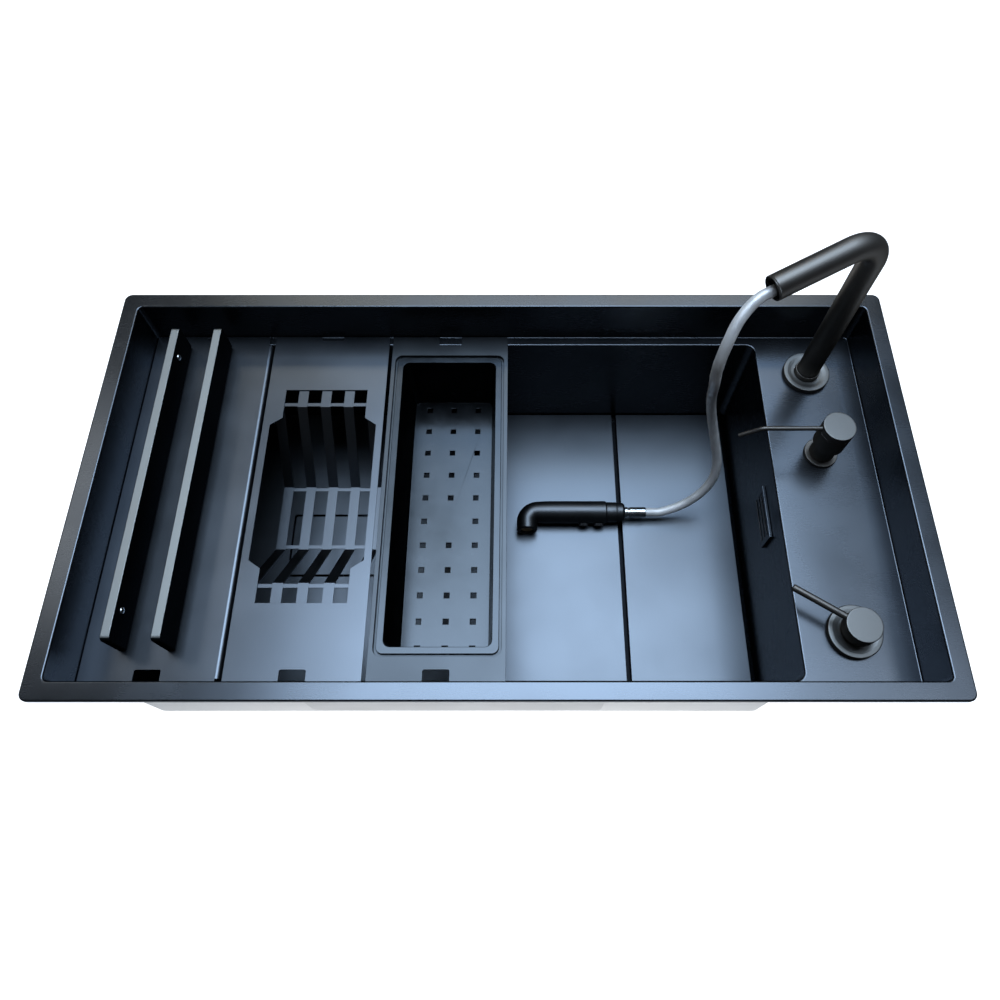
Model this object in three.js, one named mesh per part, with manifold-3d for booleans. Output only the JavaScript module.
// A workstation kitchen sink with its tap, soap dispenser, mixer and lift-out accessories, in millimetres.
// X runs along the sink, Y from its front to its back and Z up. The origin is at the middle of the
// worktop plane on which the rim rests.
import * as THREE from "three";
import { mergeVertices } from "three/addons/utils/BufferGeometryUtils.js";
import Module from "manifold-3d";

// ---------------------------------------------------------------- Driving dimensions

const clearance = 0.3; // between pieces that touch

// Sink shell
const sinkLength = 850;
const sinkWidth = 450;
const rimWidth = 18;
const rimHeight = 5;
const rimCornerRadius = 8;
const rimLip = 2.5; // wall of the rim's turned-down edge
const sheet = 1.5; // wall of the shell
const tierDepth = 56.5; // from the top of the rim down to the ledge and the tap deck
const tierCornerRadius = 5;
const ledgeWidth = 12;
const deckLength = 112; // tap deck at the right end
const bowlDepth = 226; // from the top of the rim down to the floor's edge
const bowlCornerRadius = 9;
const floorRadius = 8; // fillet between the bowl's walls and its floor
const floorFall = 3; // how far the floor falls towards the drain

// Worktop seal, clips and damping pads
const sealWidth = 11;
const sealInset = 1; // from the rim's lip to the seal
const clipWidth = 22;
const clipReach = 16;
const clipTop = -4;
const clipDrop = 46;
const clipThickness = 2.5;
const clipSpacing = 500; // between the two clips on the back wall
const clipArmEdge = 0.8; // from the screw's foot to the end of the clip's arm
const clipScrewRadius = 3;
const clipScrewRise = 16; // from the bottom of the clip up to the screw's foot
const clipFootRadius = 5.2;
const clipFootHeight = 2;
const clipHeadHeight = 3;
const padLength = 320;
const padHeight = 110;
const padThickness = 2.5;
const padCornerRadius = 10;

// Drain
const drainFromLeft = 231; // from the bowl's left wall
const drainY = 5;
const drainFlangeRadius = 57;
const drainFlangeThickness = 2;
const drainBodyRadius = 42;
const drainBodyDepth = 50;
const drainWall = 2;
const drainHoleClearance = 2;
const drainSeatMargin = 3; // flat round the flange
const outletRadius = 24;
const outletLength = 22;
const outletTaper = 6;
const tailpieceRadius = 20;
const tailpieceLength = 60;
const tailpieceNutHeight = 20;
const drainNutRadius = 54;
const drainNutHeight = 12;
const drainNutLugs = 6;
const drainNutLugLength = 8;
const drainNutLugWidth = 10;
const drainFlangeEdge = 2; // bevel round the flange's rim
const gasketInset = 3; // from the flange's rim to the gasket's
const gasketThickness = 3;
const tailpieceNutWall = 4; // of the nut on the tailpiece, outside the outlet
const strainerRadius = 36;
const strainerDepth = 28;
const strainerWall = 1.2;
const strainerCorner = 4; // bevel between the cup's wall and its floor
const strainerLip = 3; // how far the lip reaches over the drain's wall
const strainerHoleRadius = 2.5;
const strainerHoleRings = 2;
const strainerPostRadius = 3;
const strainerKnobRadius = 7;
const strainerKnobHeight = 4;
const strainerKnobDrop = 5; // from the lip down to the top of the knob

// Overflow
const overflowY = -3;
const overflowBelowRim = 106; // from the top of the rim down to the middle of the cover
const overflowLength = 62;
const overflowHeight = 34;
const overflowCoverThickness = 3;
const overflowSlots = 3;
const overflowSlotHeight = 5;
const overflowMargin = 6; // round the slots
const overflowBoxDepth = 20;
const overflowBoxWall = 2;
const overflowSpigotLength = 16;
const overflowPipeRadius = 9;
const overflowPipeWall = 1.5;
const overflowPipeBend = 28;
const overflowPortLength = 14;
const overflowPortWall = 3; // beyond the pipe's radius
const overflowPortDrop = 33; // from the drain's seat down to the pipe's axis

// Floor plates and drain cover
const plateSheet = 1.2;
const plateRise = 12; // from the floor's edge up to the top of the plates
const plateEdgeGap = 1.5; // between a plate and the bowl's front or back wall
const plateEndGap = 7; // between a plate and the bowl's end wall
const plateSplitFromRight = 148; // from the bowl's right wall to the middle of the slot between the plates
const plateSplit = 5.5;
const coverLength = 200;
const coverWidth = 78;
const coverGap = 2.2;
const coverLegLength = 8;
const coverLegWidth = 12;

// Panels on the ledges
const panelSheet = 1.2;
const panelSideGap = 1; // between the panels and the walls of the upper tier
const panelCornerRadius = 2;
const notchWidth = 26;
const notchDepth = 21;
const notchRadius = 2;
const backNotchDepth = 5;

// Board stand
const boardPanelLength = 132; // along the sink, up to its turned-down edge
const panelHemRadius = 5;
const panelHemDrop = 3;
const dividerThickness = 9;
const dividerHeight = 41;
const dividerLength = 357;
const dividerMiddleY = 11.5;
const dividerFromLeft = 38.5; // from the panel's left edge to the middle of the first divider
const dividerPitch = 47.5;
const dividerFootInset = 1.5;
const dividerFootHeight = 4;
const dividerCornerRadius = 5;
const studRadius = 3.6;
const studHeight = 2.6;
const studBelowTop = 12;
const studFrontY = -135;
const studBackY = 157;

// Knife rack
const panelGap = 2; // between the board stand's hem and the knife rack
const knifePanelLength = 134;
const knifeOpeningY = 7;
const knifeOpeningLength = 251; // across the sink
const knifeOpeningWidth = 92.5; // at its narrow ends
const knifeOpeningBelly = 118.5; // at its wide middle
const knifeBellyLength = 160;
const knifeBellyRamp = 9;
const slatCount = 5;
const slatPitch = 26.1;
const slatWidth = 11;
const slatSheet = 1.5;
const crossBarSheet = 1.1;
const slatTopLength = 208; // between the bends at the top of the basket
const slatBottomLength = 78;
const slatOverlap = 31; // how far a slat runs on past its top bend
const basketDepth = 77; // from the top of the panel down to the top of the basket's floor
const crossBarWidth = 4;

// Colander and its frame
const frameGap = 4; // between the knife rack and the frame
const frameLength = 135; // along the sink
const frameMargin = 4.5; // beside the opening, along the sink
const frameMarginFront = 34;
const frameMarginBack = 26;
const frameOpeningRadius = 8;
const frameRebateDepth = 4.5;
const frameRebateWidth = 5;
const frameBackNotchDepth = 12;
const trayLipGap = 2.5; // between the tray's lip and the frame's opening
const trayLipThickness = 3;
const trayLipWidth = 7;
const trayWall = 2.2;
const trayDepth = 80; // from the top of the panel down to the tray's floor
const trayDraft = 6; // how far a wall leans in over the tray's depth
const trayCornerRadius = 7;
const trayHolePitch = 29.8;
const trayHoleSize = 6;
const trayHoleColumns = 3;
const trayHoleRows = 11;

// Places of the tap, the dispenser and the mixer on the deck
const tapLineFromBowl = 54; // from the bowl's right wall
const tapY = 154.5;
const dispenserY = 51;
const mixerY = -148.5;
const deckHoleClearance = 1;
const nutHeight = 8;
const nutMargin = 9; // from a shank to the corners of its nut

// Tap
const flangeRadius = 26;
const flangeHeight = 6;
const flangeEdge = 1; // bevel round the top of a base flange
const flangeSkin = 2; // the part of the flange that closes in over the shank
const collarRadius = 13.8;
const collarHeight = 8;
const spoutRadius = 12.25;
const spoutWall = 1.1;
const spoutBend = 32;
const spoutRise = 190.5; // from the deck up to where the bend begins
const spoutReach = 114.6; // from the post's axis to the middle of the mouth, seen from above
const spoutDroop = 10; // degrees
const spoutHeading = 204.2; // degrees, seen from above, from +X
const spoutTail = 25; // how far the spout stands in its shank below the deck
const shankRadius = 16.5;
const shankLength = 46;

// Pull-out hose and spray head
const hoseDiameter = 11;
const hoseWall = 1.5;
const hoseMouthGap = 1.5; // from the mouth's plane to the hose's free stretch
const hoseMouthDrop = 4.2; // how low the hose hangs in the mouth
const hoseTail = 70; // how far the inner hose runs on below the shank
const sprayX = 29; // axis of the head's outlet
const sprayY = 43.5;
const sprayRadius = 14;
const sprayBore = 8.5;
const sprayBodyLength = 99;
const sprayOutletRadius = 12.7;
const sprayOutletReach = 25; // from the head's axis to the rim of its outlet
const sprayNeckRadius = 12.6;
const sprayNeckLength = 22.7;
const spraySpigotLength = 12;
const aeratorRadius = 10.8;
const aeratorDepth = 5;
const aeratorWall = 2.4;
const aeratorMeshDepth = 2;
const ferruleRadius = 6.4;
const ferruleLength = 26.4;
const ferruleGroove = 4; // from the neck to the groove in the ferrule
const ferruleGrooveWidth = 2.4;
const ferruleGrooveDepth = 1.2;
const sprayNeckBore = 5;
const sprayNeckEdge = 1;
const buttonFromOutlet = 71; // along the head
const buttonPitch = 19;
const buttonLength = 12;
const buttonWidth = 10;
const buttonCornerRadius = 3;
const buttonHeight = 3.2;
const buttonSink = 1.8; // how deep a button stands in the head's skin
const buttonTravel = 1.5;
const buttonTilt = -26; // degrees down from the side that faces the front

// Soap dispenser
const dispenserRingRadius = 18;
const dispenserRingHeight = 4;
const dispenserShankRadius = 12;
const pumpCollarRadius = 13.2;
const pumpCollarHeight = 38;
const pumpCapRadius = 16.8;
const pumpCapWall = 2.5;
const pumpCapRoof = 4;
const pumpCapEdge = 0.8;
const pumpCapHeight = 34;
const pumpTop = 61.5; // from the deck to the top of the cap
const pumpGuideWall = 5;
const pumpGuideFlange = 2;
const pumpGuideDrop = 30; // how far the guide reaches below the deck
const pumpStemRadius = 4;
const pumpStemDrop = 6; // how far the stem reaches below the deck
const pumpSpoutRadius = 2.4;
const pumpSpoutWall = 0.9;
const pumpSpoutReach = 99; // from the cap's axis to the tip
const pumpSpoutDrop = 15;
const pumpSpoutCorner = 78; // from the cap's axis to where the spout turns down
const pumpSpoutBend = 9;
const pumpSpoutBelowTop = 5;
const bottleRadius = 34;
const bottleHeight = 150;
const bottleWall = 2;
const bottleCorner = 4; // bevel between the bottle's wall and its floor
const bottleNeckHeight = 18;
const bottleNeckDrop = 14; // from the deck down to the rim of the bottle's neck
const dipTubeTop = -20;
const dipTubeBottom = -172;

// Mixer
const mixerFlangeRadius = 27;
const mixerTop = 30; // from the deck to the top of the cap
const mixerCapRadius = 17.6;
const mixerCapHeight = 15;
const mixerCapEdge = 0.8;
const mixerPivotDrop = 17; // from the top of the cap down to the pivot
const mixerDomeRadius = 13.8;
const mixerDomeWall = 3.3;
const mixerDomeMouth = 8.2;
const mixerDomeGap = 0.6; // between the dome and the hollow of the cap
const mixerBallRadius = 6;
const mixerStemRadius = 3;
const mixerSpindleRadius = 4;
const mixerSpindleDrop = 38; // how far the spindle reaches below the deck
const leverRadius = 3.5;
const leverRoot = 13.9; // from the mixer's axis to the lever's inner end
const leverReach = 73; // from the mixer's axis to the lever's outer end
const leverDrop = 5; // from the top of the cap down to the lever's axis
const leverHeading = 147.7; // degrees, seen from above, from +X
const mixerShankLength = 62;
const mixerShankChamber = 16; // height of the water chamber at the bottom of the shank
const mixerChamberRadius = 14;
const mixerShankFloor = 3;
const pipeStubRadius = 5;
const pipeStubWall = 1.5;
const pipeStubLength = 34;
const pipeStubSpread = 9;

// The hose's free stretch passes through these points between the mouth and the ferrule.
const hosePoints = [
  [226.7, 96.6, 147.2],
  [215.7, 84.6, 137.8],
  [209.1, 73.6, 123.7],
  [205.7, 66.9, 106],
  [206, 65.4, 86.8],
  [209.2, 68.9, 68.2],
  [213.3, 75.8, 50.8],
  [217.5, 83.9, 33.7],
  [221.3, 91, 16.2],
  [224.6, 96.1, -2.1],
  [228.2, 98.4, -20.9],
  [232.5, 98.3, -39.7],
  [237.4, 95.6, -58.2],
  [242.6, 91.3, -76.2],
  [247.6, 85.2, -93.9],
  [252.5, 78.3, -111.2],
  [254.8, 70.9, -128.9],
  [252.3, 64, -146.8],
  [243.9, 57.6, -163.3],
  [231.1, 51.8, -177.2],
  [215.2, 47.2, -187.4],
];
const hoseStep = 24; // between the rings of its solid
const hoseLead = 8; // straight stretch at each of its ends

// ---------------------------------------------------------------- Levels and places worked out from them

const deg = Math.PI / 180;
const ledgeZ = rimHeight - tierDepth;
const floorZ = rimHeight - bowlDepth;
const drainSeatZ = floorZ - floorFall;
const tierLength = sinkLength - 2 * rimWidth;
const tierWidth = sinkWidth - 2 * rimWidth;
const bowlLeft = -tierLength / 2 + ledgeWidth;
const bowlRight = tierLength / 2 - deckLength;
const bowlLength = bowlRight - bowlLeft;
const bowlWidth = tierWidth - 2 * ledgeWidth;
const bowlX = (bowlLeft + bowlRight) / 2;
const drainX = bowlLeft + drainFromLeft;
const drainSeatReach = drainFlangeRadius + drainSeatMargin;
const overflowZ = rimHeight - overflowBelowRim;
const overflowSlotPitch = (overflowHeight - overflowMargin) / overflowSlots;
const overflowSlotSpan = (overflowSlots - 1) * overflowSlotPitch + overflowSlotHeight;
const plateTop = floorZ + plateRise;
const plateSplitX = bowlRight - plateSplitFromRight;
const panelWidth = tierWidth - 2 * panelSideGap;
const panelTop = ledgeZ + clearance + panelSheet;
const boardPanelLeft = -tierLength / 2 + panelSideGap;
const boardPanelRight = boardPanelLeft + boardPanelLength;
const knifePanelLeft = boardPanelRight + panelHemRadius + panelGap;
const knifePanelRight = knifePanelLeft + knifePanelLength;
const knifeOpeningX = (knifePanelLeft + knifePanelRight) / 2;
const frameLeft = knifePanelRight + frameGap;
const frameRight = frameLeft + frameLength;
const tapLineX = bowlRight + tapLineFromBowl;
const sprayZ = plateTop + clearance + sprayRadius;
const hoseRadius = hoseDiameter / 2;
const shankBore = spoutRadius + clearance;
const pumpBore = pumpStemRadius + clearance + pumpGuideWall + clearance;

// ---------------------------------------------------------------- Solids

const wasm = await Module();
wasm.setup();

/** A closed three.js geometry as a solid that can be joined and cut. */
function solid(shape) {
  if (!shape.isBufferGeometry) return shape;
  const bare = shape.index ? shape.toNonIndexed() : shape.clone();
  bare.deleteAttribute("normal");
  bare.deleteAttribute("uv");
  const merged = mergeVertices(bare, 1e-4);
  const vertProperties = merged.attributes.position.array;
  const triVerts = new Uint32Array(merged.index.array);
  return new wasm.Manifold(new wasm.Mesh({ numProp: 3, vertProperties, triVerts }));
}

/** A solid as a geometry with flat faces. */
function geometryOf(shape) {
  const { vertProperties, triVerts } = solid(shape).getMesh();
  const geometry = new THREE.BufferGeometry();
  geometry.setAttribute("position", new THREE.BufferAttribute(vertProperties, 3));
  geometry.setIndex(new THREE.BufferAttribute(triVerts, 1));
  const flat = geometry.toNonIndexed();
  flat.computeVertexNormals();
  return flat;
}

const join = (first, ...rest) => rest.reduce((all, shape) => all.add(solid(shape)), solid(first));
const cut = (body, ...tools) => tools.reduce((left, tool) => left.subtract(solid(tool)), solid(body));
const overlap = (first, second) => solid(first).intersect(solid(second));

/** A closed shape of corner points and triangles. */
function facets(points, triangles) {
  const geometry = new THREE.BufferGeometry();
  geometry.setAttribute("position", new THREE.Float32BufferAttribute(points.flat(), 3));
  geometry.setIndex(triangles.flat());
  return geometry;
}

/** A box between two corners. */
function box(x0, x1, y0, y1, z0, z1) {
  const geometry = new THREE.BoxGeometry(x1 - x0, y1 - y0, z1 - z0);
  return geometry.translate((x0 + x1) / 2, (y0 + y1) / 2, (z0 + z1) / 2);
}

/** A flat outline raised from one level to another. */
function slab(shape, z0, z1, curveSegments = 3) {
  const geometry = new THREE.ExtrudeGeometry(shape, { depth: z1 - z0, bevelEnabled: false, curveSegments });
  return geometry.translate(0, 0, z0);
}

/** A slab whose whole height is taken up by rounded edges, above the given level. */
function pillow(length, width, cornerRadius, edgeRadius, x, bottom) {
  const inner = Math.max(cornerRadius - edgeRadius, 1);
  const shape = roundedRect(length - 2 * edgeRadius, width - 2 * edgeRadius, inner, x);
  const settings = {
    depth: 0.2,
    bevelSize: edgeRadius,
    bevelThickness: edgeRadius,
    bevelSegments: 3,
    curveSegments: 3,
  };
  return new THREE.ExtrudeGeometry(shape, settings).translate(0, 0, bottom + edgeRadius);
}

/** A rectangle with round corners, its middle at x, y. */
function roundedRect(length, width, radius, x = 0, y = 0) {
  const shape = new THREE.Shape();
  const [a, b] = [length / 2 - radius, width / 2 - radius];
  shape.absarc(x + a, y - b, radius, -Math.PI / 2, 0);
  shape.absarc(x + a, y + b, radius, 0, Math.PI / 2);
  shape.absarc(x - a, y + b, radius, Math.PI / 2, Math.PI);
  shape.absarc(x - a, y - b, radius, Math.PI, 1.5 * Math.PI);
  return shape;
}

/** A regular polygon that fits in a circle, such as a nut's outline or a tube's section. */
function regular(radius, sides) {
  const corner = (i) => {
    const angle = (2 * Math.PI * i) / sides;
    return new THREE.Vector2(radius * Math.cos(angle), radius * Math.sin(angle));
  };
  return new THREE.Shape(Array.from({ length: sides }, (_, i) => corner(i)));
}

/** A tube's section with as many sides as given, and with a bore if a wall is given. */
function section(radius, sides, wall = 0) {
  const shape = regular(radius, sides);
  if (wall > 0) shape.holes.push(regular(radius - wall, sides));
  return shape;
}

/** A polygon through the given points. */
const polygon = (points) => new THREE.Shape(points.map(([x, y]) => new THREE.Vector2(x, y)));

/** A strip of even thickness below a run of points that goes from left to right. */
function ribbon(points, thickness) {
  const at = points.map(([x, y]) => new THREE.Vector2(x, y));
  const below = at.map((p, i) => {
    const before = at[Math.max(i, 1)].clone().sub(at[Math.max(i, 1) - 1]).normalize();
    const next = Math.min(i + 1, at.length - 1);
    const after = at[next].clone().sub(at[next - 1]).normalize();
    const along = before.clone().add(after).normalize();
    const reach = thickness / along.dot(before);
    return new THREE.Vector2(p.x + along.y * reach, p.y - along.x * reach);
  });
  return new THREE.Shape([...at, ...below.reverse()]);
}

/** A closed profile of radius and height points, in either order, turned about the Z axis. */
function turned(profile, segments = 16) {
  const outline = profile.map(([r, z]) => new THREE.Vector2(r, z));
  if (THREE.ShapeUtils.area(outline) < 0) outline.reverse();
  const points = [...outline, outline[0]];
  return new THREE.LatheGeometry(points, segments).rotateX(Math.PI / 2);
}

/** A round bar along Z between two heights. */
const rod = (radius, z0, z1, sides = 16) => turned([[0, z0], [radius, z0], [radius, z1], [0, z1]], sides);

/** A round tube along Z between two heights. */
const pipe = (radius, bore, z0, z1, sides = 16) =>
  turned([[bore, z0], [radius, z0], [radius, z1], [bore, z1]], sides);

/** A section carried along a curve. */
function swept(shape, curve, steps) {
  return new THREE.ExtrudeGeometry(shape, { steps, extrudePath: curve, bevelEnabled: false });
}

/** A path whose rings stand at the points that it is made of. */
class RingPath extends THREE.Curve {
  constructor(points) {
    super();
    this.points = points;
  }

  getPointAt(u, target = new THREE.Vector3()) {
    return target.copy(this.points[Math.round(u * (this.points.length - 1))]);
  }

  getTangentAt(u, target = new THREE.Vector3()) {
    const last = this.points.length - 1;
    const i = Math.round(u * last);
    const ahead = this.points[Math.min(i + 1, last)].clone().sub(this.points[Math.min(i, last - 1)]);
    const behind = this.points[Math.max(i, 1)].clone().sub(this.points[Math.max(i - 1, 0)]);
    return target.copy(ahead.normalize().add(behind.normalize())).normalize();
  }
}

/** A tube along straight runs between the corners, with each corner rounded to the radius. */
function bentTube(shape, corners, radius, ringsPerBend) {
  const at = corners.map((corner) => new THREE.Vector3(...corner));
  const points = [at[0]];
  for (let i = 1; i < at.length - 1; i += 1) {
    const back = at[i - 1].clone().sub(at[i]).normalize();
    const ahead = at[i + 1].clone().sub(at[i]).normalize();
    const half = back.angleTo(ahead) / 2;
    const inward = back.clone().add(ahead).normalize();
    const across = ahead.clone().sub(back).normalize();
    const centre = at[i].clone().addScaledVector(inward, radius / Math.sin(half));
    for (let ring = 0; ring <= ringsPerBend; ring += 1) {
      const angle = ((2 * ring) / ringsPerBend - 1) * (Math.PI / 2 - half);
      const point = centre.clone().addScaledVector(inward, -radius * Math.cos(angle));
      points.push(point.addScaledVector(across, radius * Math.sin(angle)));
    }
  }
  points.push(at[at.length - 1]);
  return swept(shape, new RingPath(points), points.length - 1);
}

// ---------------------------------------------------------------- Materials and pieces

const finish = (color, roughness, metalness) =>
  new THREE.MeshStandardMaterial({ color, roughness, metalness });
const finishes = {
  steel: finish(0x2b323b, 0.38, 0.9),
  blackMetal: finish(0x1c1c1e, 0.42, 0.7),
  stainless: finish(0xb9bcc0, 0.3, 1),
  braid: finish(0xa9adb2, 0.35, 0.9),
  bronze: finish(0x6e5a48, 0.45, 0.8),
  blackPlastic: finish(0x191a1c, 0.5, 0),
  trayPlastic: finish(0x3a4049, 0.35, 0),
  greyPlastic: finish(0x6d7275, 0.55, 0),
  whitePlastic: finish(0xd9dadb, 0.45, 0),
  rubber: finish(0x1d1d1d, 0.9, 0),
  padRubber: finish(0x4a4c4e, 0.9, 0),
};

/** A named piece made of one solid. */
function piece(name, shape, material) {
  const mesh = new THREE.Mesh(geometryOf(shape), material);
  mesh.name = name;
  return mesh;
}

/** A group at a place, turned about Z, that holds the given pieces. */
function groupAt(x, y, z, heading, ...pieces) {
  const group = new THREE.Group();
  group.position.set(x, y, z);
  group.rotation.z = heading * deg;
  group.add(...pieces);
  return group;
}

// ---------------------------------------------------------------- Sink shell

/** How high the floor is at a place: it falls evenly towards the drain's seat. */
function floorAt(x, y) {
  const share = Math.max(
    (x - drainX - drainSeatReach) / (bowlRight - floorRadius - drainX - drainSeatReach),
    (drainX - drainSeatReach - x) / (drainX - drainSeatReach - bowlLeft - floorRadius),
    (Math.abs(y - drainY) - drainSeatReach) / (bowlWidth / 2 - floorRadius - drainSeatReach),
    0,
  );
  return drainSeatZ + floorFall * Math.min(share, 1);
}

/** A four-sided funnel between a wide rectangle above and a narrow one below, both given by their edges. */
function funnel(wide, narrow, top, bottom) {
  const corners = ([x0, x1, y0, y1], z) => [[x0, y0, z], [x1, y0, z], [x1, y1, z], [x0, y1, z]];
  const triangles = [[0, 2, 1], [0, 3, 2], [4, 5, 6], [4, 6, 7]];
  for (let i = 0; i < 4; i += 1) {
    const next = (i + 1) % 4;
    triangles.push([i, next, next + 4], [i, next + 4, i + 4]);
  }
  return facets([...corners(narrow, bottom), ...corners(wide, top)], triangles);
}

/** The space of the bowl with its rounded floor, grown by a wall where it is the outside. */
function bowlSpace(grow, top) {
  const [length, width, corner] = [bowlLength + 2 * grow, bowlWidth + 2 * grow, bowlCornerRadius + grow];
  const reachX = bowlLength / 2 - floorRadius + grow;
  const reachY = bowlWidth / 2 - floorRadius + grow;
  const seat = drainSeatReach + grow;
  return join(
    slab(roundedRect(length, width, corner, bowlX), floorZ + floorRadius, top),
    pillow(length, width, corner, floorRadius + grow, bowlX, floorZ - grow),
    funnel(
      [bowlX - reachX, bowlX + reachX, -reachY, reachY],
      [drainX - seat, drainX + seat, drainY - seat, drainY + seat],
      floorZ - grow + 0.02,
      drainSeatZ - grow,
    ),
  );
}

function sinkShell() {
  const rim = cut(
    slab(roundedRect(sinkLength, sinkWidth, rimCornerRadius), 0, rimHeight),
    slab(
      roundedRect(sinkLength - 2 * rimLip, sinkWidth - 2 * rimLip, rimCornerRadius - rimLip),
      -1,
      rimHeight - sheet,
    ),
  );
  const tierOutline = roundedRect(tierLength + 2 * sheet, tierWidth + 2 * sheet, tierCornerRadius + sheet);
  const tierOutside = slab(tierOutline, ledgeZ - sheet, rimHeight);
  const outside = join(rim, tierOutside, bowlSpace(sheet, ledgeZ - sheet / 2));
  const tier = slab(roundedRect(tierLength, tierWidth, tierCornerRadius), ledgeZ, rimHeight + 1);
  const hole = (radius, x, y, z) => rod(radius, z - 2 * sheet, z + sheet, 24).translate(x, y, 0);
  const overflowHole = box(
    bowlRight - sheet,
    bowlRight + 2 * sheet,
    overflowY - overflowLength / 2 + overflowMargin,
    overflowY + overflowLength / 2 - overflowMargin,
    overflowZ - overflowSlotSpan / 2 - clearance,
    overflowZ + overflowSlotSpan / 2 + clearance,
  );
  const shell = cut(
    outside,
    join(tier, bowlSpace(0, ledgeZ + 1)),
    hole(drainBodyRadius + drainHoleClearance, drainX, drainY, drainSeatZ),
    hole(shankRadius + deckHoleClearance, tapLineX, tapY, ledgeZ),
    hole(dispenserShankRadius + deckHoleClearance, tapLineX, dispenserY, ledgeZ),
    hole(shankRadius + deckHoleClearance, tapLineX, mixerY, ledgeZ),
    overflowHole,
  );
  return piece("sink_shell", shell, finishes.steel);
}

function rimSeal() {
  const outer = 2 * (rimLip + sealInset);
  const inner = outer + 2 * sealWidth;
  const outline = (inset) => roundedRect(sinkLength - inset, sinkWidth - inset, tierCornerRadius);
  const top = rimHeight - sheet - clearance;
  const band = cut(slab(outline(outer), 0, top), slab(outline(inner), -1, rimHeight));
  return piece("rim_seal", band, finishes.rubber);
}

/**
 * A clip on the outside of a wall of the upper tier, that grips the worktop. The wall lies at a distance from
 * the middle of the sink and is turned by a heading from the back wall, and along is the clip's place on it.
 */
function rimClip(name, wallReach, heading, along) {
  const face = wallReach + sheet + clearance;
  const bottom = clipTop - clipDrop;
  const screwY = face + clipReach - clipFootRadius - clipArmEdge;
  const footTop = bottom + clipScrewRise;
  const headTop = bottom - clipScrewRadius;
  const onScrew = (radius, z0, z1, sides) => rod(radius, z0, z1, sides).translate(0, screwY, 0);
  const clip = join(
    box(-clipWidth / 2, clipWidth / 2, face, face + clipThickness, bottom, clipTop),
    box(-clipWidth / 2, clipWidth / 2, face, face + clipReach, bottom, bottom + clipThickness),
    onScrew(clipScrewRadius, headTop, footTop, 10),
    onScrew(clipFootRadius, footTop - clipFootHeight, footTop, 12),
    onScrew(clipFootRadius, headTop - clipHeadHeight, headTop, 6),
  );
  const mesh = piece(name, clip, finishes.stainless);
  mesh.position.x = along;
  return groupAt(0, 0, 0, heading, mesh);
}

/** A damping pad on the outside of the bowl's back wall, or turned round on its front wall. */
function soundPad(name, side) {
  const near = bowlWidth / 2 + sheet + clearance;
  const outline = roundedRect(padLength, padHeight, padCornerRadius);
  const pad = slab(outline, near, near + padThickness).rotateX(-Math.PI / 2);
  pad.translate(0, 0, (floorZ + ledgeZ) / 2);
  return groupAt(bowlX, 0, 0, side > 0 ? 0 : 180, piece(name, pad, finishes.padRubber));
}

// ---------------------------------------------------------------- Drain and overflow

/** A hexagonal nut on a shank, just below a seat. */
function hexNut(shank, top, height) {
  const bottom = top - height;
  return cut(slab(regular(shank + nutMargin, 6), bottom, top), rod(shank + clearance, bottom - 1, top + 1));
}

/** A cup with a perforated floor and a knob, hung in the drain by its rim. */
function strainerBasket() {
  const top = drainFlangeThickness + 2 * clearance;
  const bottom = top - strainerDepth;
  const inner = strainerRadius - strainerWall;
  const cup = turned([
    [0, bottom],
    [strainerRadius - strainerCorner, bottom],
    [strainerRadius, bottom + strainerCorner],
    [strainerRadius, top],
    [drainBodyRadius + strainerLip, top],
    [drainBodyRadius + strainerLip, top + strainerWall],
    [inner, top + strainerWall],
    [inner, bottom + strainerCorner + strainerWall],
    [inner - strainerCorner, bottom + strainerWall],
    [0, bottom + strainerWall],
  ]);
  const knobTop = top - strainerKnobDrop;
  const knob = join(
    rod(strainerPostRadius, bottom, knobTop - 1, 10),
    rod(strainerKnobRadius, knobTop - strainerKnobHeight, knobTop, 16),
  );
  const holes = Array.from({ length: strainerHoleRings }, (_, i) => i + 1).flatMap((ring) =>
    Array.from({ length: 6 * ring }, (_, i) => {
      const angle = (2 * Math.PI * i) / (6 * ring);
      const radius = (ring * strainerRadius) / (strainerHoleRings + 1);
      const hole = rod(strainerHoleRadius, bottom - 1, bottom + 2 * strainerWall, 5);
      return hole.translate(radius * Math.cos(angle), radius * Math.sin(angle), 0);
    }),
  );
  return cut(join(cup, knob), ...holes);
}

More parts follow.
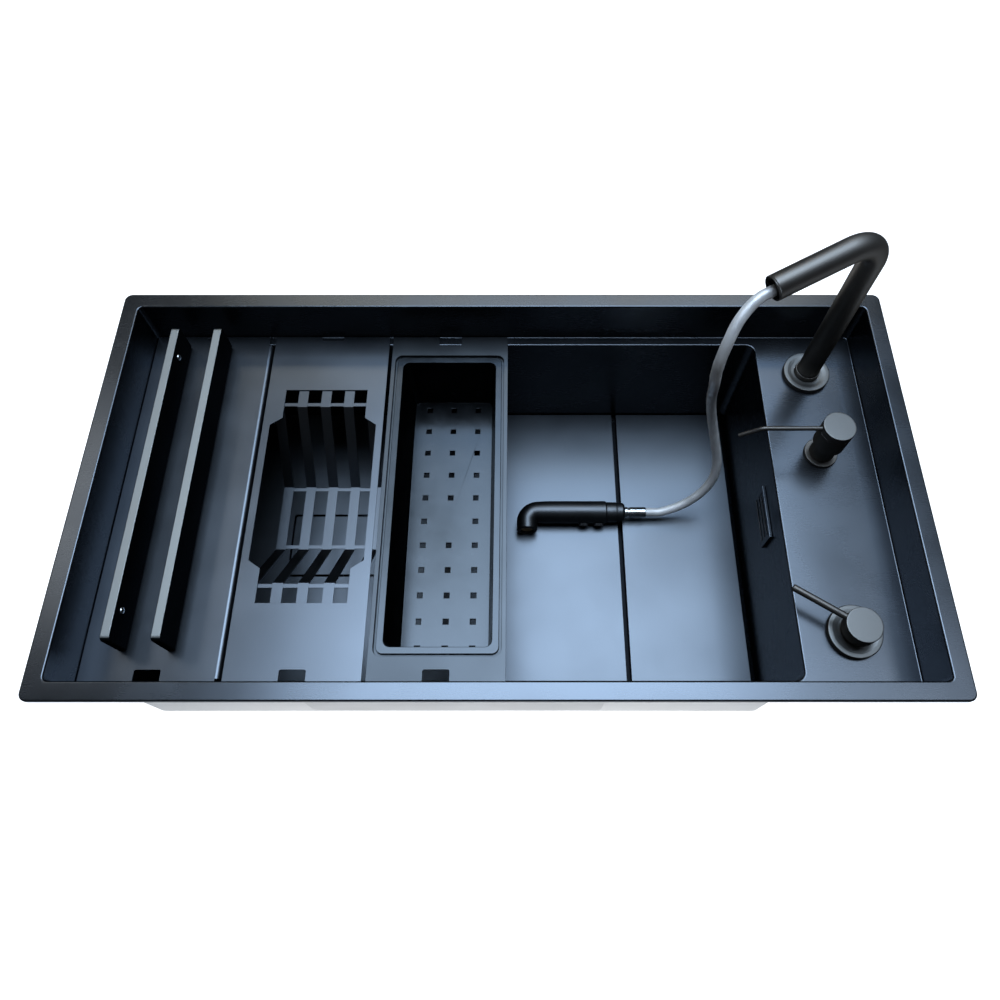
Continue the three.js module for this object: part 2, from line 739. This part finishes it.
function drain() {
  const seatTop = clearance + drainFlangeThickness;
  const bottom = -drainBodyDepth;
  const bore = drainBodyRadius - drainWall;
  const flange = turned([
    [bore, seatTop],
    [drainFlangeRadius - drainFlangeEdge, seatTop],
    [drainFlangeRadius, clearance + drainFlangeThickness / 2],
    [drainFlangeRadius, clearance],
    [drainBodyRadius, clearance],
    [drainBodyRadius, bottom],
    [outletRadius, bottom - outletTaper],
    [outletRadius, bottom - outletLength],
    [outletRadius - drainWall, bottom - outletLength],
    [outletRadius - drainWall, bottom - outletTaper + drainWall],
    [bore, bottom + drainWall],
  ]);
  const sideways = (shape) => shape.rotateY(Math.PI / 2).translate(0, 0, -overflowPortDrop);
  const portEnd = drainBodyRadius + overflowPortLength;
  const port = overlap(
    sideways(rod(overflowPipeRadius + overflowPortWall, bore - drainWall, portEnd, 16)),
    pipe(portEnd + 1, bore, bottom, 0),
  );
  const portBore = sideways(rod(overflowPipeRadius - overflowPipeWall, outletRadius, portEnd + 1, 16));
  const body = cut(join(flange, port), portBore);

  const gasketRadius = drainFlangeRadius - gasketInset;
  const gasketTop = -sheet - clearance;
  const fit = drainBodyRadius + clearance;
  const nutTop = gasketTop - gasketThickness - clearance;
  const nutBottom = nutTop - drainNutHeight;
  const [lugReach, lugHalf] = [drainNutLugLength / 2, drainNutLugWidth / 2];
  const lug = (i) => {
    const [near, far] = [drainNutRadius - lugReach, drainNutRadius + lugReach];
    const upright = box(near, far, -lugHalf, lugHalf, nutBottom, nutTop);
    return upright.rotateZ((2 * Math.PI * i) / drainNutLugs);
  };
  const lugs = Array.from({ length: drainNutLugs }, (_, i) => lug(i));

  const tailTop = bottom - outletLength - clearance;
  const tailpiece = turned([
    [tailpieceRadius - drainWall, tailTop - tailpieceLength],
    [tailpieceRadius, tailTop - tailpieceLength],
    [tailpieceRadius, tailTop - tailpieceNutHeight],
    [outletRadius + tailpieceNutWall, tailTop - tailpieceNutHeight],
    [outletRadius + tailpieceNutWall, tailTop],
    [tailpieceRadius - drainWall, tailTop],
  ]);
  return groupAt(
    drainX,
    drainY,
    drainSeatZ,
    0,
    piece("drain_flange", body, finishes.stainless),
    piece("drain_gasket", pipe(gasketRadius, fit, gasketTop - gasketThickness, gasketTop), finishes.rubber),
    piece("drain_nut", join(pipe(drainNutRadius, fit, nutBottom, nutTop), ...lugs), finishes.greyPlastic),
    piece("drain_tailpiece", tailpiece, finishes.whitePlastic),
    piece("strainer_basket", strainerBasket(), finishes.stainless),
  );
}

function overflow() {
  const [halfY, halfZ] = [overflowLength / 2, overflowHeight / 2];
  const slots = Array.from({ length: overflowSlots }, (_, i) => {
    const z = (i - (overflowSlots - 1) / 2) * overflowSlotPitch;
    const reach = halfY - overflowMargin;
    return box(-10, 10, -reach, reach, z - overflowSlotHeight / 2, z + overflowSlotHeight / 2);
  });
  const plate = cut(box(0, overflowCoverThickness, -halfY, halfY, -halfZ, halfZ), ...slots);
  const cover = piece("overflow_cover", plate, finishes.steel);
  cover.position.set(bowlRight - clearance - overflowCoverThickness, overflowY, overflowZ);

  const wall = overflowBoxWall;
  const spigotX = overflowBoxDepth / 2;
  const spigotRadius = overflowPipeRadius - overflowPipeWall - clearance;
  const spigotEnd = -halfZ - overflowSpigotLength;
  const boxBody = cut(
    join(
      cut(
        box(0, overflowBoxDepth, -halfY, halfY, -halfZ, halfZ),
        box(-1, overflowBoxDepth - wall, -halfY + wall, halfY - wall, -halfZ + wall, halfZ - wall),
      ),
      rod(spigotRadius, spigotEnd, -halfZ + 1, 16).translate(spigotX, 0, 0),
    ),
    rod(spigotRadius - wall, spigotEnd - 1, -halfZ + wall + 1, 16).translate(spigotX, 0, 0),
  );
  const housing = piece("overflow_box", boxBody, finishes.blackPlastic);
  const back = bowlRight + sheet + clearance;
  housing.position.set(back, overflowY, overflowZ);

  const portZ = drainSeatZ - overflowPortDrop;
  const end = drainX + drainBodyRadius + overflowPortLength + clearance;
  const tube = bentTube(
    section(overflowPipeRadius, 12, overflowPipeWall),
    [
      [back + spigotX, overflowY, overflowZ - halfZ - clearance],
      [back + spigotX, overflowY, portZ],
      [end + 2 * overflowPipeBend, drainY, portZ],
      [end, drainY, portZ],
    ],
    overflowPipeBend,
    5,
  );
  return [cover, housing, piece("overflow_pipe", tube, finishes.greyPlastic)];
}

// ---------------------------------------------------------------- Floor plates

/** A plate between the bowl's front and back walls that stands on two turned-down ends. */
function standingPlate(x0, x1) {
  const edge = bowlWidth / 2 - plateEdgeGap;
  const foot = floorZ + clearance;
  const reach = edge - floorRadius;
  return join(
    box(x0, x1, -edge, edge, plateTop - plateSheet, plateTop),
    box(x0, x0 + plateSheet, -reach, reach, foot, plateTop),
    box(x1 - plateSheet, x1, -reach, reach, foot, plateTop),
  );
}

function floorPlates() {
  const right = standingPlate(plateSplitX + plateSplit / 2, bowlRight - plateEndGap);
  const window = roundedRect(coverLength + 2 * coverGap, coverWidth + 2 * coverGap, 3, drainX, drainY);
  const left = cut(
    standingPlate(bowlLeft + plateEndGap, plateSplitX - plateSplit / 2),
    slab(window, plateTop - 2 * plateSheet, plateTop + 1),
  );
  const leg = (x0, side) => {
    const foot = floorAt(x0 + (side * coverLegLength) / 2, drainY) + clearance;
    const [nearX, farX] = [x0 - coverLegLength / 2, x0 + coverLegLength / 2];
    const [nearY, farY] = [drainY - coverLegWidth / 2, drainY + coverLegWidth / 2];
    return box(nearX, farX, nearY, farY, foot, plateTop - plateSheet / 2);
  };
  const legX = coverLength / 2 - coverLegLength;
  const cover = join(
    slab(roundedRect(coverLength, coverWidth, 2, drainX, drainY), plateTop - plateSheet, plateTop),
    leg(drainX - legX, -1),
    leg(drainX + legX, 1),
  );
  return [
    piece("floor_plate_right", right, finishes.steel),
    piece("floor_plate_left", left, finishes.steel),
    piece("drain_cover", cover, finishes.steel),
  ];
}

// ---------------------------------------------------------------- Accessories on the ledges

function panel(left, right) {
  const shape = roundedRect(right - left, panelWidth, panelCornerRadius, (left + right) / 2);
  return slab(shape, panelTop - panelSheet, panelTop, 3);
}

/** A finger notch in the front (-1) or back (1) edge of a panel. */
function notch(x, side, width, depth) {
  const shape = roundedRect(width, 2 * depth, notchRadius, x, (side * panelWidth) / 2);
  return slab(shape, panelTop - 2 * panelSheet, panelTop + 2, 3);
}

function boardStand() {
  const hem = [[boardPanelRight - 2, panelTop]];
  const hemRings = 5;
  for (let i = 0; i <= hemRings; i += 1) {
    const angle = ((90 * i) / hemRings) * deg;
    const rise = panelHemRadius * (1 - Math.cos(angle));
    hem.push([boardPanelRight + panelHemRadius * Math.sin(angle), panelTop - rise]);
  }
  hem.push([boardPanelRight + panelHemRadius, panelTop - panelHemRadius - panelHemDrop]);
  const hemReach = bowlWidth / 2 - plateEdgeGap;
  const hemStrip = slab(ribbon(hem, panelSheet), -hemReach, hemReach).rotateX(Math.PI / 2);
  const firstX = boardPanelLeft + dividerFromLeft;
  const plate = cut(
    join(panel(boardPanelLeft, boardPanelRight), hemStrip),
    notch((boardPanelLeft + boardPanelRight) / 2, -1, notchWidth, notchDepth),
    notch(firstX + dividerPitch / 2, 1, dividerThickness, backNotchDepth),
  );

  const half = dividerThickness / 2;
  const profile = polygon([
    [-half, 0],
    [half - dividerFootInset, 0],
    [half - dividerFootInset, dividerFootHeight],
    [half, dividerFootHeight],
    [half, dividerHeight],
    [-half, dividerHeight],
  ]);
  const side = roundedRect(dividerLength, 2 * dividerHeight, dividerCornerRadius, 0, 0);
  const wall = overlap(
    slab(profile, -dividerLength, dividerLength).rotateX(Math.PI / 2),
    slab(side, -dividerThickness, dividerThickness).rotateX(Math.PI / 2).rotateZ(Math.PI / 2),
  );
  const foot = panelTop + clearance;
  const divider = (name, x) => {
    const mesh = piece(name, wall, finishes.greyPlastic);
    mesh.position.set(x, dividerMiddleY, foot);
    return mesh;
  };
  const dome = [[0, 0], [studRadius, 0], [studRadius * 0.86, studHeight * 0.55], [0, studHeight]];
  const stud = (name, y) => {
    const mesh = piece(name, turned(dome, 16).rotateY(Math.PI / 2), finishes.stainless);
    mesh.position.set(firstX + half + clearance, y, foot + dividerHeight - studBelowTop);
    return mesh;
  };
  return [
    piece("board_stand_panel", plate, finishes.steel),
    divider("board_divider_left", firstX),
    divider("board_divider_right", firstX + dividerPitch),
    stud("divider_stud_front", studFrontY),
    stud("divider_stud_back", studBackY),
  ];
}

/** The outline of the knife rack's opening: narrow at its ends and wide in the middle. */
function knifeOpening() {
  const quarter = [
    [knifeOpeningWidth / 2, knifeOpeningLength / 2],
    [knifeOpeningWidth / 2, knifeBellyLength / 2 + knifeBellyRamp],
    [knifeOpeningBelly / 2, knifeBellyLength / 2],
  ];
  const corners = (sx, sy) => quarter.map(([x, y]) => [knifeOpeningX + sx * x, knifeOpeningY + sy * y]);
  return polygon([
    ...corners(1, 1),
    ...corners(1, -1).reverse(),
    ...corners(-1, -1),
    ...corners(-1, 1).reverse(),
  ]);
}

function knifeRack() {
  const plate = cut(
    panel(knifePanelLeft, knifePanelRight),
    slab(knifeOpening(), panelTop - 2 * panelSheet, panelTop + 2),
    notch(knifeOpeningX, -1, notchWidth, notchDepth),
    notch(knifeOpeningX, 1, notchWidth, backNotchDepth),
  );
  const under = panelTop - panelSheet - clearance;
  const floor = panelTop - basketDepth;
  const [top, bottom] = [slatTopLength / 2, slatBottomLength / 2];
  const run = [
    [-top - slatOverlap, under],
    [-top, under],
    [-bottom, floor],
    [bottom, floor],
    [top, under],
    [top + slatOverlap, under],
  ];
  const strip = ribbon(run, slatSheet);
  const slats = Array.from({ length: slatCount }, (_, i) => {
    const x = (i - (slatCount - 1) / 2) * slatPitch;
    return slab(strip, x - slatWidth / 2, x + slatWidth / 2).rotateX(Math.PI / 2).rotateZ(Math.PI / 2);
  });
  const span = ((slatCount - 1) * slatPitch + slatWidth) / 2;
  const bar = (y, z) => {
    const level = z - slatSheet / 2;
    const [halfWidth, halfSheet] = [crossBarWidth / 2, crossBarSheet / 2];
    return box(1 - span, span - 1, y - halfWidth, y + halfWidth, level - halfSheet, level + halfSheet);
  };
  const inset = crossBarWidth / 2 + 1;
  const pair = (side) => [bar(side * (bottom - inset), floor), bar(side * (top + inset), under)];
  const bars = [...pair(-1), ...pair(1)];
  const basket = piece("knife_rack_basket", join(...slats, ...bars), finishes.steel);
  basket.position.set(knifeOpeningX, knifeOpeningY, 0);
  return [piece("knife_rack_panel", plate, finishes.steel), basket];
}

/** The outline of the colander frame's opening, drawn in by the given amount. */
function frameOpening(inset, radius) {
  const length = frameLength - 2 * frameMargin - 2 * inset;
  const width = panelWidth - frameMarginFront - frameMarginBack - 2 * inset;
  const middleY = (frameMarginFront - frameMarginBack) / 2;
  return roundedRect(length, width, radius, (frameLeft + frameRight) / 2, middleY);
}

function colanderFrame() {
  const middle = (frameLeft + frameRight) / 2;
  const shelf = panelTop - frameRebateDepth;
  const well = slab(frameOpening(-panelSheet, frameOpeningRadius + panelSheet), shelf - panelSheet, panelTop);
  const frame = cut(
    join(panel(frameLeft, frameRight), well),
    slab(frameOpening(0, frameOpeningRadius), shelf, panelTop + 1),
    slab(frameOpening(frameRebateWidth, frameOpeningRadius), shelf - 2 * panelSheet, panelTop),
    notch(middle, -1, notchWidth, notchDepth),
    notch(middle, 1, notchWidth, frameBackNotchDepth),
  );
  return piece("colander_frame", frame, finishes.steel);
}

/** A block between two outlines of equal point count, each drawn in from the frame's opening. */
function taperedBlock(insetTop, insetBottom, top, bottom) {
  const ring = (inset, z) => frameOpening(inset, trayCornerRadius).getPoints(3).map((p) => [p.x, p.y, z]);
  const [lower, upper] = [ring(insetBottom, bottom), ring(insetTop, top)];
  const count = lower.length;
  const middle = [(frameLeft + frameRight) / 2, (frameMarginFront - frameMarginBack) / 2];
  const triangles = [];
  for (let i = 0; i < count; i += 1) {
    const next = (i + 1) % count;
    triangles.push([i, next, next + count], [i, next + count, i + count]);
    triangles.push([2 * count, next, i], [2 * count + 1, i + count, next + count]);
  }
  return facets([...lower, ...upper, [...middle, bottom], [...middle, top]], triangles);
}

function colander() {
  const lipTop = panelTop - frameRebateDepth + clearance + trayLipThickness;
  const floor = panelTop - trayDepth;
  const wallTop = trayLipGap + trayLipWidth;
  const lean = trayDraft / (lipTop - floor);
  const outside = taperedBlock(
    wallTop - trayWall + lean,
    wallTop - trayWall + trayDraft + lean * trayWall,
    lipTop - 1,
    floor - trayWall,
  );
  const inside = taperedBlock(wallTop - lean, wallTop + trayDraft, lipTop + 1, floor);
  const middleX = (frameLeft + frameRight) / 2;
  const middleY = (frameMarginFront - frameMarginBack) / 2;
  const holes = [];
  for (let column = 0; column < trayHoleColumns; column += 1) {
    for (let row = 0; row < trayHoleRows; row += 1) {
      const [across, along] = [column - (trayHoleColumns - 1) / 2, row - (trayHoleRows - 1) / 2];
      if (across === 0 && along === 0) continue; // the gate of the moulding is in the middle
      const [x, y] = [middleX + across * trayHolePitch, middleY + along * trayHolePitch];
      const half = trayHoleSize / 2;
      holes.push(box(x - half, x + half, y - half, y + half, floor - 2 * trayWall, floor + 1));
    }
  }
  const lip = slab(frameOpening(trayLipGap, trayCornerRadius), lipTop - trayLipThickness, lipTop);
  return piece("colander", cut(join(lip, outside), inside, ...holes), finishes.trayPlastic);
}

// ---------------------------------------------------------------- Tap

/** The corners of the spout's centre line in its upright plane, up to a place before or past its mouth. */
function spoutCorners(start, beyond, drop) {
  const droop = spoutDroop * deg;
  const cornerZ = spoutRise + spoutBend * Math.tan((Math.PI / 2 + droop) / 2) - drop / Math.cos(droop);
  const reach = spoutReach + beyond * Math.cos(droop) - drop * Math.sin(droop);
  return [[0, 0, start], [0, 0, cornerZ], [reach, 0, cornerZ - reach * Math.tan(droop)]];
}

/** A flange whose top closes in to the given radius over the shank. */
function baseFlange(radius, mouth) {
  const top = clearance + flangeHeight;
  return turned([
    [shankRadius + clearance, clearance],
    [radius, clearance],
    [radius, top - flangeEdge],
    [radius - flangeEdge, top],
    [mouth, top],
    [mouth, top - flangeSkin],
    [shankRadius + clearance, top - flangeSkin],
  ], 24);
}

function tap() {
  const start = -spoutTail;
  const spout = bentTube(section(spoutRadius, 16, spoutWall), spoutCorners(start, 0, 0), spoutBend, 7);
  const hoseEnd = -shankLength - hoseTail;
  const tip = hoseMouthGap - clearance;
  const innerCorners = spoutCorners(hoseEnd, tip, hoseMouthDrop);
  const inner = bentTube(section(hoseRadius, 10, hoseWall), innerCorners, spoutBend, 7);
  const nutTop = -sheet - clearance;
  const shankTop = flangeHeight - flangeSkin;
  const collar = pipe(collarRadius, shankBore, shankTop + clearance, shankTop + collarHeight);
  return groupAt(
    tapLineX,
    tapY,
    ledgeZ,
    spoutHeading,
    piece("faucet_flange", baseFlange(flangeRadius, collarRadius + clearance), finishes.blackMetal),
    piece("faucet_collar", collar, finishes.blackMetal),
    piece("faucet_shank", pipe(shankRadius, shankBore, -shankLength, shankTop), finishes.stainless),
    piece("faucet_nut", hexNut(shankRadius, nutTop, nutHeight), finishes.greyPlastic),
    piece("spout_tube", spout, finishes.blackMetal),
    piece("inner_hose", inner, finishes.braid),
  );
}

/** The free stretch of the pulled-out hose, from the spout's mouth to the ferrule on the spray head. */
function pulloutHose() {
  const turn = new THREE.Euler(0, 0, spoutHeading * deg);
  const fromMouth = (beyond) => {
    const [, , end] = spoutCorners(0, beyond, hoseMouthDrop);
    return new THREE.Vector3(...end).applyEuler(turn).add(new THREE.Vector3(tapLineX, tapY, ledgeZ));
  };
  const ferruleEnd = sprayX + sprayBodyLength + sprayNeckLength + ferruleLength + 2 * clearance;
  const toFerrule = (before) => new THREE.Vector3(ferruleEnd + clearance + before, sprayY, sprayZ);
  const curve = new THREE.CatmullRomCurve3([
    fromMouth(hoseMouthGap),
    fromMouth(hoseMouthGap + hoseLead),
    ...hosePoints.map((point) => new THREE.Vector3(...point)),
    toFerrule(2 * hoseLead),
    toFerrule(hoseLead),
    toFerrule(0),
  ]);
  const steps = Math.round(curve.getLength() / hoseStep);
  return piece("pullout_hose", swept(section(hoseRadius, 10), curve, steps), finishes.braid);
}

// ---------------------------------------------------------------- Spray head

/** Turns a shape from standing along Z to lying along X. */
const layAlongX = (shape) => shape.rotateY(Math.PI / 2);

/** Turns a shape from standing along Z to pointing to the front. */
const pointToFront = (shape) => shape.rotateX(Math.PI / 2);

/** A button's block, upright, with its foot at the given height above the head's axis. */
const buttonBlock = (grow, foot, top) =>
  slab(roundedRect(buttonLength + 2 * grow, buttonWidth + 2 * grow, buttonCornerRadius + grow), foot, top);

/** Turns an upright button so that it points to the front and a little down, and moves it along the head. */
const placeButton = (shape, index) =>
  shape.rotateX((90 - buttonTilt) * deg).translate(buttonFromOutlet + index * buttonPitch, 0, 0);

function sprayHead() {
  const neckStart = sprayBodyLength + clearance;
  const neckEnd = neckStart + sprayNeckLength;
  const ferruleStart = neckEnd + clearance;
  const ferruleEnd = ferruleStart + ferruleLength;
  const aeratorSeat = aeratorRadius + clearance;
  const pocketFloor = sprayRadius - buttonSink - buttonTravel - clearance;
  const body = cut(
    join(
      layAlongX(rod(sprayRadius, 0, sprayBodyLength)),
      new THREE.SphereGeometry(sprayOutletRadius, 16, 12),
      pointToFront(rod(sprayOutletRadius, 0, sprayOutletReach)),
    ),
    layAlongX(rod(sprayBore, 0, sprayBodyLength + 1, 16)),
    pointToFront(rod(sprayBore, 0, sprayOutletReach + 1, 16)),
    pointToFront(rod(aeratorSeat, sprayOutletReach - aeratorDepth - clearance, sprayOutletReach + 1)),
    ...[0, 1].map((index) => placeButton(buttonBlock(clearance, pocketFloor, 2 * sprayRadius), index)),
  );
  const neck = layAlongX(
    turned([
      [sprayNeckBore, neckStart - spraySpigotLength],
      [sprayBore - clearance, neckStart - spraySpigotLength],
      [sprayBore - clearance, neckStart],
      [sprayNeckRadius, neckStart],
      [sprayNeckRadius, neckEnd - sprayNeckEdge],
      [sprayNeckRadius - sprayNeckEdge, neckEnd],
      [sprayNeckBore, neckEnd],
    ]),
  );
  const grooveStart = ferruleStart + ferruleGroove;
  const ferrule = layAlongX(
    turned([
      [hoseRadius - hoseWall, ferruleStart],
      [ferruleRadius, ferruleStart],
      [ferruleRadius, grooveStart],
      [ferruleRadius - ferruleGrooveDepth, grooveStart],
      [ferruleRadius - ferruleGrooveDepth, grooveStart + ferruleGrooveWidth],
      [ferruleRadius, grooveStart + ferruleGrooveWidth],
      [ferruleRadius, ferruleEnd],
      [hoseRadius - hoseWall, ferruleEnd],
    ], 16),
  );
  const aeratorBack = sprayOutletReach - aeratorDepth;
  const meshRadius = aeratorRadius - aeratorWall - clearance;
  const aeratorBore = aeratorRadius - aeratorWall;
  const aeratorRing = pointToFront(pipe(aeratorRadius, aeratorBore, aeratorBack, sprayOutletReach));
  const aeratorMesh = pointToFront(rod(meshRadius, aeratorBack + 1, aeratorBack + 1 + aeratorMeshDepth));
  const foot = sprayRadius - buttonSink;
  const button = (name, index) =>
    piece(name, placeButton(buttonBlock(0, foot, sprayRadius + buttonHeight), index), finishes.blackPlastic);
  return groupAt(
    sprayX,
    sprayY,
    sprayZ,
    0,
    piece("spray_body", body, finishes.blackMetal),
    piece("spray_neck", neck, finishes.blackMetal),
    piece("hose_ferrule", ferrule, finishes.stainless),
    piece("aerator_ring", aeratorRing, finishes.blackPlastic),
    piece("aerator_mesh", aeratorMesh, finishes.bronze),
    button("spray_button_left", 0),
    button("spray_button_right", 1),
  );
}

// ---------------------------------------------------------------- Soap dispenser

function soapBottle() {
  const neckInner = dispenserShankRadius + clearance;
  const neckTop = -bottleNeckDrop;
  const shoulder = neckTop - bottleNeckHeight;
  const floor = shoulder - bottleHeight;
  const slope = (bottleRadius - neckInner) / 2;
  return turned([
    [0, floor],
    [bottleRadius - bottleCorner, floor],
    [bottleRadius, floor + bottleCorner],
    [bottleRadius, shoulder - slope],
    [neckInner + bottleWall, shoulder],
    [neckInner + bottleWall, neckTop],
    [neckInner, neckTop],
    [neckInner, shoulder - bottleWall],
    [bottleRadius - bottleWall, shoulder - slope - bottleWall],
    [bottleRadius - bottleWall, floor + bottleCorner + bottleWall],
    [bottleRadius - bottleCorner - bottleWall, floor + bottleWall],
    [0, floor + bottleWall],
  ]);
}

function dispenser() {
  const nutTop = -sheet - clearance;
  const ringTop = clearance + dispenserRingHeight;
  const ring = turned([
    [dispenserShankRadius + clearance, clearance],
    [dispenserRingRadius, clearance],
    [dispenserRingRadius, ringTop - flangeEdge],
    [dispenserRingRadius - flangeEdge, ringTop],
    [dispenserShankRadius + clearance, ringTop],
  ], 20);
  const collarBottom = ringTop + clearance;
  const collarTop = collarBottom + pumpCollarHeight;
  const collar = turned([
    [pumpBore, -shankLength],
    [dispenserShankRadius, -shankLength],
    [dispenserShankRadius, collarBottom],
    [pumpCollarRadius, collarBottom],
    [pumpCollarRadius, collarTop],
    [pumpBore, collarTop],
  ], 20);
  const stemBore = pumpStemRadius + clearance;
  const guideTop = collarTop + clearance + pumpGuideFlange;
  const guide = turned([
    [stemBore, -pumpGuideDrop],
    [stemBore + pumpGuideWall, -pumpGuideDrop],
    [stemBore + pumpGuideWall, collarTop + clearance],
    [pumpCollarRadius - 1, collarTop + clearance],
    [pumpCollarRadius - 1, guideTop],
    [stemBore, guideTop],
  ]);
  const capBottom = pumpTop - pumpCapHeight;
  const roof = pumpTop - pumpCapRoof;
  const capBore = pumpCapRadius - pumpCapWall;
  const spoutZ = pumpTop - pumpSpoutBelowTop;
  const seat = capBore + clearance;
  const cap = cut(
    turned([
      [0, roof],
      [capBore, roof],
      [capBore, capBottom],
      [pumpCapRadius, capBottom],
      [pumpCapRadius, pumpTop - pumpCapEdge],
      [pumpCapRadius - pumpCapEdge, pumpTop],
      [0, pumpTop],
    ], 32),
    layAlongX(rod(pumpSpoutRadius + clearance, capBore, pumpCapRadius + 2, 12)).translate(0, 0, spoutZ),
  );
  const spout = bentTube(
    section(pumpSpoutRadius, 8, pumpSpoutWall),
    [[seat, 0, spoutZ], [pumpSpoutCorner, 0, spoutZ], [pumpSpoutReach, 0, spoutZ - pumpSpoutDrop]],
    pumpSpoutBend,
    3,
  );
  return groupAt(
    tapLineX,
    dispenserY,
    ledgeZ,
    180,
    piece("dispenser_ring", ring, finishes.blackMetal),
    piece("dispenser_nut", hexNut(dispenserShankRadius, nutTop, nutHeight), finishes.greyPlastic),
    piece("pump_collar", collar, finishes.blackMetal),
    piece("pump_guide", guide, finishes.whitePlastic),
    piece("pump_stem", rod(pumpStemRadius, -pumpStemDrop, roof - clearance, 16), finishes.whitePlastic),
    piece("pump_cap", cap, finishes.blackMetal),
    piece("pump_spout", spout, finishes.blackMetal),
    piece("soap_bottle", soapBottle(), finishes.whitePlastic),
    piece("dip_tube", rod(pumpStemRadius, dipTubeBottom, dipTubeTop, 12), finishes.whitePlastic),
  );
}

// ---------------------------------------------------------------- Mixer

/** Points on a circle about the mixer's pivot, between two angles from the upright. */
function pivotArc(radius, from, to, steps, pivot) {
  return Array.from({ length: steps + 1 }, (_, i) => {
    const angle = from + ((to - from) * i) / steps;
    return [radius * Math.sin(angle), pivot + radius * Math.cos(angle)];
  });
}

function mixer() {
  const nutTop = -sheet - clearance;
  const pivot = mixerTop - mixerPivotDrop;
  const shankTop = flangeHeight - flangeSkin;
  const domeBore = mixerDomeRadius - mixerDomeWall;
  const mouthAngle = (radius) => Math.asin(mixerDomeMouth / radius);
  const collar = turned([
    ...pivotArc(mixerDomeRadius, mouthAngle(mixerDomeRadius), Math.PI / 2, 4, pivot).reverse(),
    ...pivotArc(domeBore, mouthAngle(domeBore), Math.PI / 2, 3, pivot),
    [domeBore, shankTop + clearance],
    [mixerDomeRadius, shankTop + clearance],
  ], 20);
  const spindle = join(
    rod(mixerSpindleRadius, -mixerSpindleDrop, pivot, 16),
    new THREE.SphereGeometry(mixerBallRadius, 12, 8).translate(0, 0, pivot),
  );
  const capRim = mixerTop - mixerCapHeight;
  const capOutside = turned([
    [0, capRim],
    [mixerCapRadius, capRim],
    [mixerCapRadius, mixerTop - mixerCapEdge],
    [mixerCapRadius - mixerCapEdge, mixerTop],
    [0, mixerTop],
  ], 20);
  const hollow = new THREE.SphereGeometry(mixerDomeRadius + mixerDomeGap, 20, 14).translate(0, 0, pivot);
  const leverZ = mixerTop - leverDrop;
  const leverBore = layAlongX(rod(leverRadius + clearance, leverRoot - clearance, mixerCapRadius + 2, 16));
  const stem = rod(mixerStemRadius, pivot + mixerBallRadius + clearance, mixerTop - 1, 12);
  const cap = join(cut(capOutside, hollow, leverBore.translate(0, 0, leverZ)), stem);
  const lever = turned([
    [0, leverRoot],
    [leverRadius, leverRoot],
    [leverRadius, leverReach - 1],
    [leverRadius - 1, leverReach],
    [0, leverReach],
  ], 16);
  const stubTop = -mixerShankLength - clearance;
  const stubAt = (shape, i) => {
    const side = i === 0 ? 1 : -1;
    return shape.translate(0, side * pipeStubSpread, 0);
  };
  const shankFloor = -mixerShankLength + mixerShankFloor;
  const spindleBore = mixerSpindleRadius + clearance;
  const shank = cut(
    turned([
      [0, -mixerShankLength],
      [shankRadius, -mixerShankLength],
      [shankRadius, shankTop],
      [spindleBore, shankTop],
      [spindleBore, shankFloor + mixerShankChamber],
      [mixerChamberRadius, shankFloor + mixerShankChamber],
      [mixerChamberRadius, shankFloor],
      [0, shankFloor],
    ]),
    ...[0, 1].map((i) => stubAt(rod(pipeStubRadius - pipeStubWall, stubTop, shankFloor + 1, 10), i)),
  );
  const stub = (name, i) => {
    const tube = pipe(pipeStubRadius, pipeStubRadius - pipeStubWall, stubTop - pipeStubLength, stubTop, 12);
    return piece(name, stubAt(tube, i), finishes.stainless);
  };
  return groupAt(
    tapLineX,
    mixerY,
    ledgeZ,
    leverHeading,
    piece("mixer_flange", baseFlange(mixerFlangeRadius, mixerDomeRadius + clearance), finishes.blackMetal),
    piece("mixer_collar", collar, finishes.blackMetal),
    piece("mixer_spindle", spindle, finishes.stainless),
    piece("mixer_cap", cap, finishes.blackMetal),
    piece("mixer_lever", layAlongX(lever).translate(0, 0, leverZ), finishes.blackMetal),
    piece("mixer_shank", shank, finishes.stainless),
    piece("mixer_nut", hexNut(shankRadius, nutTop, nutHeight), finishes.greyPlastic),
    stub("hot_inlet", 0),
    stub("cold_inlet", 1),
  );
}

// ---------------------------------------------------------------- Assembly

const sink = new THREE.Group();
sink.add(
  sinkShell(),
  rimSeal(),
  rimClip("rim_clip_back_left", tierWidth / 2, 0, -clipSpacing / 2),
  rimClip("rim_clip_back_right", tierWidth / 2, 0, clipSpacing / 2),
  rimClip("rim_clip_left", tierLength / 2, 90, 0),
  rimClip("rim_clip_right", tierLength / 2, -90, 0),
  soundPad("sound_pad_back", 1),
  soundPad("sound_pad_front", -1),
  drain(),
  ...overflow(),
  ...floorPlates(),
  ...boardStand(),
  ...knifeRack(),
  colanderFrame(),
  colander(),
  tap(),
  pulloutHose(),
  sprayHead(),
  dispenser(),
  mixer(),
);

export default sink;
